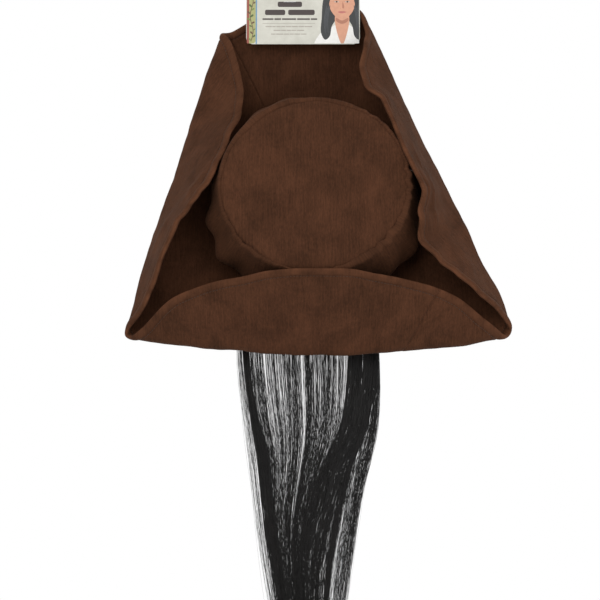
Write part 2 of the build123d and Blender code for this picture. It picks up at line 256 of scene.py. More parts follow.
card_stock = speckled_material("card", (0.43, 0.42, 0.365), (0.53, 0.52, 0.46), 70, 0.55, 0.00005)
steel_wire = speckled_material("staple_wire", (0.45, 0.45, 0.46), (0.62, 0.62, 0.63), 600, 0.3, 0.00005, 1.0)


# -------------------------------------------------------------------- mesh tools

def quads_of_grid(rows, columns, wrap):
    """Corner indices of the quads of a grid; wrap joins its last row to its first."""
    row = np.arange(rows if wrap else rows - 1)
    column = np.arange(columns - 1)
    i, j = np.meshgrid(row, column, indexing="ij")
    after = (i + 1) % rows
    corners = [i * columns + j, after * columns + j, after * columns + j + 1, i * columns + j + 1]
    return np.stack(corners, axis=-1).reshape(-1, 4)


def border_walls(rows, columns, wrap, shift):
    """Quads that close the rim between a grid and its copy, which is shift indices on."""
    around = np.arange(rows + (1 if wrap else 0)) % rows
    loops = [around * columns, (around * columns + columns - 1)[::-1]]
    if not wrap:
        along = np.arange(columns)
        loops += [along[::-1], (rows - 1) * columns + along]
    return np.concatenate([np.stack([loop[:-1], loop[:-1] + shift, loop[1:] + shift, loop[1:]], axis=-1)
                           for loop in loops])


def place_mesh(name, mesh, body="hat"):
    """An object of a finished mesh, riding on a body."""
    mesh.update()
    piece = bpy.data.objects.new(name, mesh)
    bpy.context.scene.collection.objects.link(piece)
    if body:
        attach(piece, body)
    return piece


def make_object(name, points_mm, quads, cloth_mm, material, body="hat", wear_and_highlight=None):
    """A smooth mesh object, with its cloth coordinates and its mask of edge wear and painted highlight."""
    mesh = bpy.data.meshes.new(name)
    mesh.from_pydata((points_mm * MM).tolist(), [], [list(face) for face in quads])
    layer = mesh.uv_layers.new(name="cloth")
    corner = np.empty(len(mesh.loops), dtype=np.int64)
    mesh.loops.foreach_get("vertex_index", corner)
    layer.data.foreach_set("uv", (cloth_mm[corner] * MM).ravel())
    mesh.polygons.foreach_set("use_smooth", np.ones(len(mesh.polygons), dtype=bool))
    if wear_and_highlight is not None:
        worn_and_lit = mesh.attributes.new("wear_and_highlight", "FLOAT", "POINT")
        worn_and_lit.data.foreach_set("value", wear_and_highlight.astype(np.float32).ravel())
    mesh.materials.append(material)
    return place_mesh(name, mesh, body)


def stand_in(piece, slot, *nodes):
    """Let a piece replace CAD nodes, which are hidden; the slot argument is not used."""
    if nodes:
        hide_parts(*nodes)
    return piece


def two_sided(name, outer, inner, cloth, material, wrap=False, wear_and_highlight=None):
    """A closed sheet between two grids of points, each rows by columns by 3."""
    rows, columns = outer.shape[:2]
    shift = rows * columns
    front = quads_of_grid(rows, columns, wrap)
    back = front[:, ::-1] + shift
    quads = np.concatenate([front, back, border_walls(rows, columns, wrap, shift)])
    points = np.concatenate([outer.reshape(-1, 3), inner.reshape(-1, 3)])
    flat = cloth.reshape(-1, 2)
    if wear_and_highlight is not None:
        wear_and_highlight = np.concatenate([wear_and_highlight.ravel(), wear_and_highlight.ravel()])
    return make_object(name, points, quads, np.concatenate([flat, flat]), material, wear_and_highlight=wear_and_highlight)


def grid_normals(points, wrap):
    """Unit normals of a grid of points: columns direction cross rows direction."""
    if wrap:
        around = np.roll(points, -1, axis=0) - np.roll(points, 1, axis=0)
    else:
        around = np.gradient(points, axis=0)
    return unit(np.cross(np.gradient(points, axis=1), around))


def unit(vectors):
    """Vectors brought to length 1."""
    return vectors / np.maximum(np.linalg.norm(vectors, axis=-1, keepdims=True), 1e-9)


def spread(across, along):
    """Cloth coordinates from two arrays that broadcast to one grid."""
    return np.stack(np.broadcast_arrays(across, along), axis=-1)


def on_circle(radius, turn, level):
    """Points round the head opening, at a radius and a level."""
    return np.stack(np.broadcast_arrays(radius * np.cos(turn), level, radius * np.sin(turn)), axis=-1)


def full_turn(steps):
    """A column of directions all the way round."""
    return np.linspace(0, 2 * math.pi, steps, endpoint=False)[:, None]


def bell(offset, width):
    """A smooth bump, 1 high, over an offset."""
    return np.exp(-(offset / width) ** 2)


def off_from(degrees, centre):
    """Degrees from a direction, between -180 and 180."""
    return (degrees - centre + 180) % 360 - 180


def ripple(seed, longest, shortest, count):
    """A smooth random height over the plane, about 1 high: a sum of plane waves."""
    source = np.random.default_rng(seed)
    lengths = np.exp(source.uniform(math.log(shortest), math.log(longest), count))
    turns = source.uniform(0, 2 * math.pi, count)
    phases = source.uniform(0, 2 * math.pi, count)

    def height(x, z):
        total = 0.0
        for length, turn, phase in zip(lengths, turns, phases):
            total = total + np.sin((x * math.cos(turn) + z * math.sin(turn)) * 2 * math.pi / length + phase)
        return total / math.sqrt(count)
    return height


# ------------------------------------------------------------------ brim formula

def ease(share):
    """Smooth step from 0 to 1, flat outside."""
    share = np.clip(share, 0.0, 1.0)
    return share * share * (3 - 2 * share)


def read_off(place, pairs):
    """Values at places, eased between the neighbouring (place, value) pairs."""
    value = np.full_like(place, float(pairs[0][1]))
    for (low, before), (high, after) in zip(pairs, pairs[1:]):
        value += (after - before) * ease((place - low) / (high - low))
    return value


def floor_height(x, z):
    """Height of the brim floor over points of the flat brim."""
    out = np.maximum(0.0, np.hypot(x, z) - CROWN_RADIUS)
    return FLOOR_RISE * (1 - np.exp(-((out / FLOOR_RUN) ** FLOOR_CURVE)))


def resting_turn(flap):
    """Degrees that a flap turns through to lie on the rim of the crown."""
    angle = math.radians(flap["out"])
    nx, nz = math.cos(angle), math.sin(angle)
    rim = math.hypot(TOP_HALF_X * nx, TOP_HALF_Z * nz) + TOP_SHIFT_X * nx + TOP_SHIFT_Z * nz
    fold = CROWN_RADIUS + flap["gap"]
    run = fold - flap["bend"] - rim
    rise = RIM_HEIGHT - float(floor_height(fold * nx, fold * nz)) - flap["bend"]
    lean = math.asin((flap["bend"] - FLAP_CLEARANCE) / math.hypot(run, rise))
    return math.degrees(math.atan2(rise, -run) + lean)


for flap in FLAPS.values():
    flap["rest"] = resting_turn(flap)


def fold_up(x, z):
    """Where points of the flat brim lie once the three flaps are turned up."""
    folded_x, folded_z, height = x.copy(), z.copy(), np.zeros_like(x)
    floor_x, floor_z = x.copy(), z.copy()
    for flap in FLAPS.values():
        angle = math.radians(flap["out"])
        nx, nz = math.cos(angle), math.sin(angle)
        along = z * nx - x * nz
        bend = flap["bend"]
        start = CROWN_RADIUS + flap["gap"] - bend - flap["bow"] * (along / BOW_SPAN) ** 2
        past = np.maximum(0.0, x * nx + z * nz - start)
        turn = np.radians(flap["rest"] - read_off(along, flap["slack"]))
        arc = np.minimum(past / bend, turn)
        straight = np.maximum(0.0, past - bend * turn)
        out = bend * np.sin(arc) + straight * np.cos(turn)
        height += bend * (1 - np.cos(arc)) + straight * np.sin(turn)
        folded_x += (out - past) * nx
        folded_z += (out - past) * nz
        spent = past - FLOOR_EASE * (1 - np.exp(-past / FLOOR_EASE))
        floor_x -= spent * nx
        floor_z -= spent * nz
    height += floor_height(floor_x, floor_z)
    return np.stack([folded_x, -height, folded_z], axis=-1)


def outline_radius(angle):
    """Radius of the flat brim's edge, in directions given in degrees."""
    turn = np.radians(angle)
    along = BRIM_SHIFT_X * np.cos(turn) + BRIM_SHIFT_Z * np.sin(turn)
    shift = BRIM_SHIFT_X ** 2 + BRIM_SHIFT_Z ** 2
    radius = along + np.sqrt(along ** 2 - shift + DISC_RADIUS ** 2)
    near = np.clip(off_from(angle, 90) / FRONT_PEAK_HALF_ANGLE, -1, 1)
    radius = radius + FRONT_PEAK * np.cos(near * math.pi / 2) ** 2
    return radius + read_off(off_from(angle, 0), EDGE_EXTRA)


# -------------------------------------------------------------------- brim cloth

ROUND_STEPS = 250
ACROSS_STEPS = 104
EDGE_ROUND = 2.4
HEM_WIDTH = 7.5
HEM_PUFF = 0.75
HEM_GROOVE = 0.65
WRINKLE = 0.9
EDGE_WAVE = 0.6
SEAM_DIP = 0.25
CORE_INSET_STEPS = 4
CORE_SLACK = 0.25
# soft creases: direction, distance in from the edge, spread round and across, height
CREASES = [
    (13.0, 12.0, 5.0, 5.0, 3.2), (20.0, 24.0, 4.0, 3.0, 1.6), (8.0, 30.0, 6.0, 4.0, 1.8),
    (44.0, 14.0, 5.0, 4.0, 1.6), (171.0, 16.0, 4.0, 4.0, 1.4), (186.0, 30.0, 7.0, 6.0, 1.6),
    (-78.0, 14.0, 4.0, 3.0, 0.9), (-104.0, 22.0, 6.0, 6.0, 1.0),
]
broad_wrinkle = ripple(11, 95.0, 38.0, 16)
edge_wrinkle = ripple(23, 120.0, 55.0, 10)
fine_wrinkle = ripple(31, 26.0, 12.0, 18)


def brim_grid(first, last):
    """The middle surface of half a brim: points, normals, flat places and distances."""
    angles = np.linspace(first, last, ROUND_STEPS)[:, None]
    spaced = np.linspace(0, 1, ACROSS_STEPS)
    shares = (1 - (1 - spaced) ** 1.25)[None, :]
    outline = outline_radius(angles)
    radius = BRIM_INNER + shares * (outline - BRIM_INNER)
    x = radius * np.cos(np.radians(angles))
    z = radius * np.sin(np.radians(angles))
    points = fold_up(x, z)
    normals = grid_normals(points, False)
    from_edge = outline - radius
    from_crown = radius - BRIM_INNER
    calm = ease(from_crown / 25.0)
    lift = WRINKLE * calm * broad_wrinkle(x, z)
    lift += EDGE_WAVE * (1 - ease(from_edge / 45.0)) * edge_wrinkle(x, z) * calm
    lift += 0.14 * fine_wrinkle(x, z) * calm
    for centre, inset, width, depth, height in CREASES:
        off = off_from(angles, centre)
        lift -= height * bell(off, width) * bell(from_edge - inset - 0.55 * off, depth)
    gather = np.sin(np.radians(angles) * 47 + 3 * broad_wrinkle(x * 0.4, z * 0.4))
    lift += 0.35 * np.exp(-from_crown / 7.0) * gather
    points = points + normals * lift[..., None]
    normals = grid_normals(points, False)
    from_seam = np.minimum(angles - first, last - angles) * math.pi / 180 * radius
    return points, normals, np.stack([x, z], axis=-1), from_edge, from_seam


def skin_offsets(from_edge, from_seam):
    """Outer and inner distance of a brim cloth from the middle surface."""
    rounded = np.sqrt(1 - (1 - np.clip(from_edge / EDGE_ROUND, 0, 1)) ** 2)
    puff = HEM_PUFF * np.sin(np.clip(from_edge / HEM_WIDTH, 0, 1) * math.pi)
    groove = HEM_GROOVE * bell(from_edge - HEM_WIDTH, 0.8)
    dip = SEAM_DIP * bell(from_seam, 1.3)
    outer = (BRIM_HALF + puff) * rounded - groove - dip
    outer = np.maximum(outer, 0.03)
    inner = np.maximum(outer - SUEDE, 0.0)
    return outer[..., None], inner[..., None]


def make_brim():
    """Both halves of the upper cloth, the stiffener and the under cloth."""
    pieces, halves = {}, []
    for side, start in (("right", SEAM_ANGLE), ("left", SEAM_ANGLE + 180)):
        points, normals, flat, from_edge, from_seam = brim_grid(start, start + 180)
        outer, inner = skin_offsets(from_edge, from_seam)
        # mask of lighter colour: real wear at the cloth's edges, and a painted highlight along the folded
        # edges and the hem's raised ridge
        worn_and_lit = 0.42 * np.exp(-from_edge / 1.6) + 0.16 * bell(from_edge - HEM_WIDTH * 0.5, 2.2)
        worn_and_lit = np.clip(worn_and_lit * (0.6 + 0.4 * fine_wrinkle(flat[..., 0], flat[..., 1])), 0, 1)
        upper = two_sided(f"brim_upper_cloth_{side}", points + normals * outer, points + normals * inner,
                          flat, suede, wear_and_highlight=worn_and_lit)
        under = two_sided(f"brim_under_cloth_{side}", points - normals * inner, points - normals * outer,
                          flat, suede, wear_and_highlight=worn_and_lit)
        middle = points[:, :-CORE_INSET_STEPS]
        core = normals[:, :-CORE_INSET_STEPS] * (STIFFENER / 2 - CORE_SLACK)
        stiff = two_sided(f"brim_core_{side}", middle + core, middle - core, flat[:, :-CORE_INSET_STEPS],
                          stiffener_cloth)
        stand_in(upper, "suede", f"brim_upper_{side}")
        stand_in(under, "suede", f"brim_under_{side}")
        stand_in(stiff, "stiffener", f"brim_stiffener_{side}")
        pieces[side] = (upper, under, stiff)
        halves.append((points, normals, from_edge, outer))
    return pieces, halves


# ------------------------------------------------------------------- crown cloth

CROWN_ROUND_STEPS = 420
RIM_ROLL = 2.4
SEAM_INSET = 1.7
SEAM_TUCK = 3.4
DISC_CENTRE = 0.0003
dent = ripple(41, 130.0, 60.0, 9)
SAGS = [(-150.0, 30.0, 12.0), (-32.0, 24.0, 9.0), (120.0, 22.0, 3.5), (20.0, 20.0, 1.5)]
pucker_phase = ripple(43, 90.0, 30.0, 8)


def crown_wall(angle, height):
    """The crown's side at heights: its points in plan, its reach, and a placer of points."""
    share = np.clip((height - COLLAR_HEIGHT) / (CROWN_HEIGHT - COLLAR_HEIGHT), 0, 1)
    across = (CROWN_RADIUS + (TOP_HALF_X - CROWN_RADIUS) * share) * np.cos(angle)
    up = (CROWN_RADIUS + (TOP_HALF_Z - CROWN_RADIUS) * share) * np.sin(angle)
    reach = np.hypot(across, up)

    def place(radius):
        x = TOP_SHIFT_X * share + across / reach * radius
        z = TOP_SHIFT_Z * share + up / reach * radius
        return np.stack(np.broadcast_arrays(x, -height, z), axis=-1)
    return TOP_SHIFT_X * share + across, TOP_SHIFT_Z * share + up, reach, place


def crown_disc(angle, share, inset):
    """Points in plan of the crown's top, at a share of the way out to its rim less an inset."""
    x = TOP_SHIFT_X + (TOP_HALF_X - inset) * share * np.cos(angle)
    z = TOP_SHIFT_Z + (TOP_HALF_Z - inset) * share * np.sin(angle)
    return x, z


def pucker(angle, strength):
    """Uneven gathers round the crown's top seam, about 1 high."""
    x, z = 90 * np.cos(angle), 90 * np.sin(angle)
    wander = pucker_phase(x, z)
    deep = 0.55 + 0.45 * np.cos(angle + math.radians(50)) + 0.25 * wander
    return strength * deep * np.sin(angle * 44 + 2.6 * wander) * (0.6 + 0.4 * np.sin(angle * 7 + wander))


def seam_inset(angle):
    """How far in from the rim the top's seam runs: it wanders, and falls back in two places."""
    degrees = np.degrees(angle)
    inset = SEAM_INSET + 0.5 * np.sin(5 * angle + 1) + 0.4 * np.sin(11 * angle + 0.5)
    for centre, width, depth in ((-38.0, 30.0, 4.2), (122.0, 26.0, 2.6)):
        inset = inset + depth * bell(off_from(degrees, centre), width)
    return inset


def make_crown_side():
    """The side panel: collar, taper, and a soft roll over into the top seam."""
    angle = full_turn(CROWN_ROUND_STEPS)
    wall_top = CROWN_HEIGHT - RIM_ROLL + 1.0
    wall = np.linspace(-BRIM_HALF, wall_top, 60)
    roll = np.linspace(0, math.pi / 2, 12)[1:]
    tuck = SEAM_TUCK * np.linspace(0, 1, 5)[1:]
    sunk = SEAM_TUCK * (tuck / SEAM_TUCK) ** 1.6
    height = np.concatenate([wall, wall_top + RIM_ROLL * np.sin(roll), wall_top + RIM_ROLL - sunk])[None, :]
    inward = np.concatenate([np.zeros(60), RIM_ROLL * (1 - np.cos(roll)), RIM_ROLL + tuck])[None, :]
    over = np.clip(inward / RIM_ROLL, 0, 1) ** 2
    inward = inward + over * (seam_inset(angle) - SEAM_INSET)
    x, z, reach, place = crown_wall(angle, height)
    level = np.clip(height / CROWN_HEIGHT, 0, 1)
    near_top = np.exp(-np.abs(height - CROWN_HEIGHT) / 13.0)
    sag = np.sin(np.clip((height - 10) / (CROWN_HEIGHT - 10), 0, 1) * math.pi) ** 1.3 + 0.12 * level
    swell = 1.6 * np.sin(level * math.pi)
    swell = swell + 1.3 * np.maximum(0, dent(x, z + height)) * np.clip(height / 40, 0, 1)
    for centre, width, depth in SAGS:
        off = off_from(np.degrees(angle), centre)
        pleat = np.sin(np.radians(off) * 17 + 0.9 * np.sin(height / 17)) * np.clip(height / 25, 0, 1)
        swell = swell + depth * bell(off, width) * sag * (1 + 0.3 * pleat)
    swell = swell + near_top * (0.9 + pucker(angle, 1.3))
    outer = place(reach - inward + swell + 0.15)
    normals = grid_normals(outer, True)
    facing = np.sign(np.sum(normals * (place(reach) - place(0 * reach))))
    cloth = spread(angle * CROWN_RADIUS, height)
    piece = two_sided("crown_side_cloth", outer, outer - facing * normals * SUEDE, cloth, suede, wrap=True)
    return stand_in(piece, "suede", "crown_side_panel")


def make_crown_top():
    """The top panel: nearly flat, gathered where it is sewn in."""
    angle = full_turn(CROWN_ROUND_STEPS)
    share = np.linspace(1, DISC_CENTRE, 80)[None, :]
    x, z = crown_disc(angle, share, seam_inset(angle) - 1.4)
    from_seam = (1 - share) * TOP_HALF_Z
    edge = 1 - np.exp(-from_seam / 1.9)
    height = RIM_HEIGHT - 3.0 + 3.3 * edge + 1.1 * (1 - share ** 2)
    height = height + 0.55 * edge * dent(x * 1.3 + 40, z * 1.3)
    height = height + pucker(angle + 0.03, 0.9) * np.exp(-from_seam / 9.0) * edge
    outer = np.stack([x, -height, z], axis=-1)
    inner = outer + np.array([0.0, SUEDE, 0.0])
    piece = two_sided("crown_top_cloth", outer, inner, spread(x, z), suede, wrap=True)
    return stand_in(piece, "suede", "crown_top_panel")


# ------------------------------------------------------------ crown's inner plies

INTERFACING = 0.8


def ring_ply(name, offset, thickness, low, high, fold_height, pleats, material):
    """A wall ply inside the crown: its outer face is offset in from the crown's side."""
    angle = full_turn(360)
    height = np.linspace(low, high, 36)[None, :]
    x, z, reach, place = crown_wall(angle, height)
    wander = pucker_phase(70 * np.cos(angle), 70 * np.sin(angle))
    loose = np.sin((height - low) / (high - low) * math.pi) ** 0.7
    fold = fold_height * loose * (0.5 + 0.5 * np.sin(angle * pleats + 2.2 * wander + height * 0.012))
    out = reach - offset - fold
    cloth = spread(angle * CROWN_RADIUS, height)
    return two_sided(name, place(out), place(out - thickness), cloth, material, wrap=True)


def disc_ply(name, height, thickness, inset, rise, material):
    """A round ply under the crown's top."""
    angle = full_turn(240)
    share = np.linspace(1, DISC_CENTRE, 40)[None, :]
    x, z = crown_disc(angle, share, inset)
    level = height + rise * (1 - share ** 2) - 0.6 * np.maximum(0, dent(x, z)) * (1 - share ** 4)
    level = level - 0.25 * np.exp(-(1 - share) * 80 / 5.0) * (1 + np.sin(angle * 60 + dent(x, z)))
    outer = np.stack([x, -level, z], axis=-1)
    inner = outer + np.array([0.0, thickness, 0.0])
    return two_sided(name, outer, inner, spread(x, z), material, wrap=True)


def make_crown_inside():
    """Interfacing and lining of the crown's side and top."""
    side_core = ring_ply("crown_side_core", SUEDE + 0.25, INTERFACING, -BRIM_HALF, 81.5, 0.0, 1,
                         stiffener_cloth)
    top_core = disc_ply("crown_top_core", 84.3, 0.7, 7.5, 1.0, stiffener_cloth)
    side_lining = ring_ply("crown_side_lining_cloth", 2.15, LINING, 3.0, 82.0, 1.6, 31, lining_cloth)
    top_lining = disc_ply("crown_top_lining_cloth", 83.2, LINING, 3.4, 0.5, lining_cloth)
    stand_in(side_core, "stiffener", "crown_side_interfacing")
    stand_in(top_core, "stiffener", "crown_top_interfacing")
    stand_in(side_lining, "lining", "crown_side_lining")
    stand_in(top_lining, "lining", "crown_top_lining")
    return side_core, top_core, side_lining, top_lining


# -------------------------------------------------------------- sweatband, label

def make_sweatband():
    """A folded band of ribbed tape round the opening, with two rows of stitching."""
    angle = full_turn(480)
    share = np.linspace(0, 1, 30)[None, :]
    height = -BRIM_HALF + BAND_HEIGHT * share
    wave = 0.25 * np.sin(angle * 23 + 4 * np.sin(angle * 3)) * np.sin(share * math.pi)
    rolled = 0.35 * (np.exp(-share * BAND_HEIGHT / 1.2) + np.exp(-(1 - share) * BAND_HEIGHT / 1.2))
    outer = on_circle(OPENING_RADIUS + BAND_THICKNESS - 0.2 * rolled, angle, -height)
    inner = on_circle(OPENING_RADIUS + 0.1 + rolled + 0.1 * wave, angle, -height)
    cloth = spread(angle * OPENING_RADIUS, height)
    piece = two_sided("sweatband_tape", outer, inner, cloth, band_cloth, wrap=True)
    stand_in(piece, "sweatband", "sweatband")
    turns = np.linspace(0, 2 * math.pi, 560)
    lines = [(on_circle(OPENING_RADIUS + 0.02, turns, BRIM_HALF - row), on_circle(-1.0, turns, 0.0))
             for row in (BAND_SEAM, BAND_HEIGHT - BAND_SEAM)]
    return piece, stand_in(make_stitches("sweatband_stitches", lines, thread_cloth), "thread")


BAND_SEAM = 2.6
LABEL_WIDTH = 22.0
LABEL_LENGTH = 28.0
LABEL_THICKNESS = 0.3
LABEL_RADIUS = 93.9


def make_label():
    """A blank satin tag, caught in the band's top seam; its free end curls in a little."""
    along = np.linspace(0, 1, 40)[:, None]
    across = np.linspace(-0.5, 0.5, 24)[None, :]
    level = -BAND_HEIGHT + BRIM_HALF + LABEL_LENGTH * along
    curl = 1.8 * along ** 2.4 + 0.25 * (1 + np.sin(across * 5 + along * 6)) * along
    turn = math.pi + LABEL_WIDTH * across / LABEL_RADIUS
    hem = 0.25 * np.exp(-((1 - along) * LABEL_LENGTH / 3.0) ** 4)
    outer = LABEL_RADIUS - 0.1 - curl
    inner = on_circle(outer - LABEL_THICKNESS - hem, turn, level)
    cloth = spread(LABEL_WIDTH * across, level)
    piece = two_sided("care_label_tape", inner, on_circle(outer, turn, level), cloth, label_tape)
    return stand_in(piece, "label_tape", "care_label")


# --------------------------------------------------------------- thread, stitches

STITCH_LENGTH = 2.3
STITCH_PITCH = 3.1
STITCH_RADIUS = 0.2


def make_stitches(name, lines, material):
    """Short stitches along lines of points; each line comes with its outward normals."""
    tubes = []
    for points, normals in lines:
        steps = np.linalg.norm(np.diff(points, axis=0), axis=1)
        run = np.concatenate([[0.0], np.cumsum(steps)])
        starts = np.arange(0.5, run[-1] - STITCH_LENGTH, STITCH_PITCH)
        path = []
        for share, lift in ((0, -0.22), (0.15, 0.06), (0.5, 0.14), (0.85, 0.06), (1, -0.22)):
            at = starts + share * STITCH_LENGTH
            lifted = points + lift * normals
            path.append(np.stack([np.interp(at, run, lifted[:, k]) for k in range(3)], axis=-1))
        tubes.append(np.stack(path, axis=1))
    return make_tubes(name, np.concatenate(tubes), STITCH_RADIUS, 6, material)


def make_tubes(name, paths, radius, sides, material, body="hat"):
    """Closed tubes along paths of any direction, all with the same number of points."""
    count, steps = paths.shape[:2]
    tangent = unit(np.gradient(paths, axis=1))
    helper = np.where(np.abs(tangent[..., :1]) < 0.8, [[[1.0, 0.0, 0.0]]], [[[0.0, 0.0, 1.0]]])
    first = unit(np.cross(tangent, helper))
    second = np.cross(tangent, first)
    turn = (np.arange(sides) * 2 * math.pi / sides)[:, None]
    width = np.broadcast_to(radius, (count, steps))[:, :, None, None]
    ring = first[:, :, None] * np.cos(turn) + second[:, :, None] * np.sin(turn)
    points = (paths[:, :, None] + width * ring).reshape(-1, 3)
    spans = np.linalg.norm(np.diff(paths, axis=1), axis=-1)
    length = np.concatenate([np.zeros((count, 1)), np.cumsum(spans, axis=1)], axis=1)
    cloth = spread(length[..., None] + np.zeros(sides), 7.31 * np.arange(count)[:, None, None])
    return make_object(name, points, tube_faces(count, steps, sides), cloth.reshape(-1, 2), material, body)


def tube_faces(count, steps, sides):
    """Side quads and end caps of tubes; caps are fans of the first and last rings."""
    base = (np.arange(count) * steps * sides)[:, None, None]
    step = (np.arange(steps - 1) * sides)[None, :, None]
    side = np.arange(sides)[None, None, :]
    after = (side + 1) % sides
    corner = base + step
    quads = np.stack([corner + side, corner + after, corner + sides + after, corner + sides + side], axis=-1)
    first = (base[:, 0, :] + np.arange(sides)[::-1][None]).tolist()
    last = (base[:, 0, :] + (steps - 1) * sides + np.arange(sides)[None]).tolist()
    return quads.reshape(-1, 4).tolist() + first + last


# ---------------------------------------------------------------------- hair

HAIR_LEVELS = [-104.0, -148.0, -182.0, -226.0, -253.0, -289.0, -323.0, -359.0, -397.0, -450.0, -516.0]
HAIR_BANDS = {
    "left_strays": ([-80, -80, -77, -71, -68, -63, -59, -53, -45, -38, -34],
                    [-74, -75, -71, -64, -60, -56, -52, -47, -40, -33, -30]),
    "left_lock": ([-76, -74, -70, -63, -58, -55, -51, -46, -41, -36, -33],
                  [-70, -68, -64, -55, -46, -44, -40, -33, -26, -22, -20]),
    "curtain": ([-73, -72, -68, -60, -51, -49, -46, -40, -36, -32, -30],
                [35, 35, 34, 30, 18, 4, -6, -10, -8, -6, -5]),
    "right_lock": ([32, 32, 31, 25, 8, -4, -14, -20, -21, -17, -14],
                   [58, 59, 57, 51, 37, 28, 21, 14, 11, 8, 6]),
    "fringe": ([52, 53, 51, 44, 34, 27, 24, 15, 12, 9, 7],
               [62, 63, 64, 61, 55, 45, 40, 35, 29, 22, 17]),
}
HAIR_STRANDS = {
    "left_strays": (44, "left", 0.10, 0.9),
    "left_lock": (400, "left", 0.12, 0.35),
    "curtain": (1200, "centre", 0.10, 0.8),
    "right_lock": (900, "right", 0.13, 0.55),
    "fringe": (330, "right", 0.10, 1.0),
}
HAIR_STEPS = 22
HAIR_SIDES = 3
HAIR_START_Y = 3.0
STRANDS_IN_CLUMP = 18
HAIR_TIP_DROP = 110.0
STRAY_SHARE = 0.09
STRAY_SPREAD = 9.0


def softened(levels, values):
    """The same curve on finer steps, with its corners rounded off."""
    fine = np.arange(levels[0] - 60, levels[-1] + 60, 2.0)
    raw = np.interp(fine, levels, values)
    kernel = np.exp(-(np.arange(-20, 21) * 2.0 / 15.0) ** 2)
    smooth = np.convolve(np.pad(raw, 20, mode="edge"), kernel / kernel.sum(), mode="valid")
    return fine, smooth


def strand_paths(band, count, waviness, source):
    """Paths of one band of strands, clumped, each with its own length and drift."""
    low, high = (np.array(edge, float) for edge in HAIR_BANDS[band])
    levels = -np.array(HAIR_LEVELS)
    top, end = levels[0], levels[-1]
    clumps = max(4, count // STRANDS_IN_CLUMP)
    centres = source.uniform(0, 1, clumps)
    pick = source.integers(0, clumps, count)
    share = centres[pick] + source.normal(0, 0.012, count)
    loose = source.uniform(0, 1, count) < 0.3
    share = np.clip(np.where(loose, source.uniform(0, 1, count), share), 0.0, 1.0)[:, None]
    clump = centres[pick][:, None]
    tip = end - HAIR_TIP_DROP * source.uniform(0, 1, count)[:, None] ** 2.2
    fall = top + (tip - top) * np.linspace(0, 1, HAIR_STEPS)[None, :]
    left = np.interp(fall, *softened(levels, low))
    right = np.interp(fall, *softened(levels, high))
    x = left + (right - left) * share
    drop = (fall - top) / (end - top)
    drift = source.normal(0, 2.2, clumps)[pick] + source.normal(0, 1.2, count)
    fly = source.uniform(0, 1, count) < STRAY_SHARE
    drift = np.where(fly, drift + source.normal(0, STRAY_SPREAD, count), drift)[:, None]
    x = x + drift * drop ** 1.6 * np.sin(fall / 95.0 + share * 5)
    for reach, length in ((1.5, 300.0), (0.7, 120.0)):
        phase = source.uniform(0, 2 * math.pi, count)[:, None] + clump * 9
        x = x + waviness * reach * np.sin(fall * 2 * math.pi / length + phase) * np.minimum(1, drop * 4)
    depth = source.normal(0, 0.9, count)[:, None]
    y = HAIR_STAND_OFF + (depth + 0.8 * np.sin(fall / 60.0 + clump * 12)) * np.minimum(1, drop * 6)
    rise = HAIR_START_Y + (HAIR_STAND_OFF - HAIR_START_Y) * ease((fall - top) / (-HINGE_Z - top))
    y = np.maximum(np.where(fall < -HINGE_Z, rise, y), HAIR_START_Y)
    z = (weft_edge(x[:, :1]) + top) * np.exp(-drop * 22) - fall
    return np.stack([x, y, z], axis=-1)


def weft_edge(x):
    """Height of the weft's lower edge at places across the hat."""
    return -np.sqrt(np.maximum(WEFT_RADIUS ** 2 - x ** 2, 1.0))


def make_hair():
    """The fibres, in the three groups that hang from the weft."""
    source = np.random.default_rng(5)
    groups = {"left": [], "centre": [], "right": []}
    for band, (count, group, radius, waviness) in HAIR_STRANDS.items():
        paths = strand_paths(band, count, waviness, source)
        thin = 1 - 0.75 * np.linspace(0, 1, HAIR_STEPS) ** 3
        width = radius * source.uniform(0.75, 1.2, count)[:, None] * thin[None, :]
        groups[group].append((paths, width))
    for group, parts in groups.items():
        paths = np.concatenate([part[0] for part in parts])
        width = np.concatenate([part[1] for part in parts])
        piece = make_tubes(f"hair_fibres_{group}", paths, width, HAIR_SIDES, hair_fibre, body=None)
        locks = [f"hair_{group}_lock_{number + 1}" for number in range(LOCK_GROUPS[group])]
        stand_in(piece, "hair", *locks)
        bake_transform(piece)


def make_weft():
    """The heading: a ribbed tape on the brim's inner edge, oversewn, with the fibres below."""
    angles = np.radians(np.linspace(-90 - WEFT_HALF_ANGLE, -90 + WEFT_HALF_ANGLE, 260))[:, None]
    around = np.linspace(0, 2 * math.pi, 15)[:-1][None, :]
    rib = 1 + 0.06 * np.sin(angles * 900)
    across = WEFT_WIDTH / 2 * np.sign(np.cos(around)) * np.abs(np.cos(around)) ** 0.6 * rib
    through = WEFT_THICKNESS / 2 * np.sign(np.sin(around)) * np.abs(np.sin(around)) ** 0.6 * rib
    face = BRIM_HALF + PLY_GAP
    rings = on_circle(WEFT_RADIUS + across, angles, face + WEFT_THICKNESS / 2 + through)
    cloth = spread(angles * WEFT_RADIUS, around).reshape(-1, 2)
    piece = make_object("weft_tape", rings.reshape(-1, 3), tube_faces(1, *rings.shape[:2]), cloth, weft_cloth)
    stand_in(piece, "weft_tape", "hair_weft")
    turns = np.radians(np.linspace(-90 - WEFT_HALF_ANGLE + 1, -90 + WEFT_HALF_ANGLE - 1, 400))
    outward = np.tile([0.0, 1.0, 0.0], (len(turns), 1))
    lines = [(on_circle(WEFT_RADIUS + side, turns, face + WEFT_THICKNESS), outward) for side in (-1.0, 1.0)]
    stand_in(make_stitches("weft_stitches", lines, weft_cloth), "weft_tape")
    return piece


